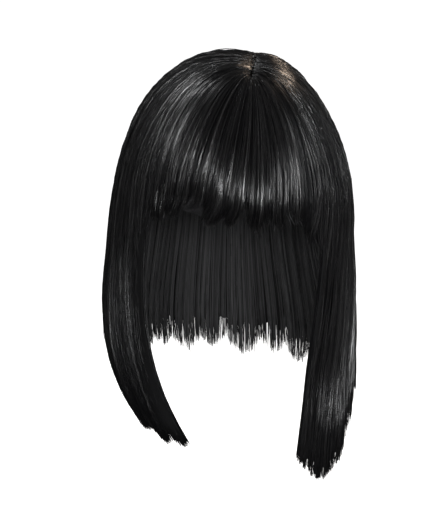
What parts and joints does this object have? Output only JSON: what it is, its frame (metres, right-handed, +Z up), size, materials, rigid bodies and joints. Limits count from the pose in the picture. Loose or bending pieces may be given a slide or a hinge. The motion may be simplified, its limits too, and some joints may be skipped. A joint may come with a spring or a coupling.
{
  "type": "bob wig",
  "caption": "Straight black bob wig with a full fringe: a stretch cap carrying a fringe, two long side falls that frame the face, and a shorter fall behind.",
  "frame": {"origin": "inside top of the cap, where the crown of a head seats", "axes": "+Z up, the wearer faces -Y, the wearer's left is +X; the cap leans 6 degrees towards +X, as worn"},
  "size_m": [0.2175, 0.2282, 0.3463],
  "materials": {
    "cap_net": "matt stretch net",
    "hair": "glossy straight synthetic fibre"
  },
  "bodies": {
    "root": {"cap": "cap_net", "fringe": "hair", "right_side": "hair", "left_side": "hair", "back": "hair"}
  },
  "joints": []
}
